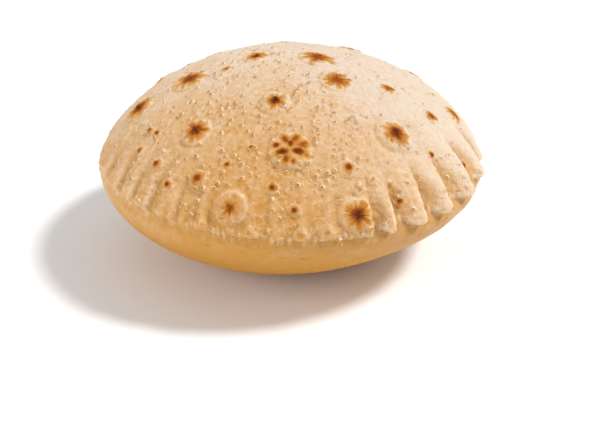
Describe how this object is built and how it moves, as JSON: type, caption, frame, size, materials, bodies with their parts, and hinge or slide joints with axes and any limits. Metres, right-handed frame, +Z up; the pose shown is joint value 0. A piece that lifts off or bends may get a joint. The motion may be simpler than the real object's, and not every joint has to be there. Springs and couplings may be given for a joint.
{
  "type": "puffed chapati flatbread",
  "caption": "Round chapati flatbread puffed up by steam into a full cushion, with a pinched and puckered seam, toasted blisters and a small flat spot to rest on.",
  "frame": {"origin": "centre of the bread's box in X and Y, at the flat spot that it rests on", "axes": "+Z up out of the plate, -Y towards the side that shows, +X to its right"},
  "size_m": [0.1798, 0.1804, 0.0929],
  "materials": {
    "baked_crust": "dry baked wheat crust with toasted and charred spots"
  },
  "bodies": {
    "root": {"chapati": "baked_crust"}
  },
  "joints": []
}
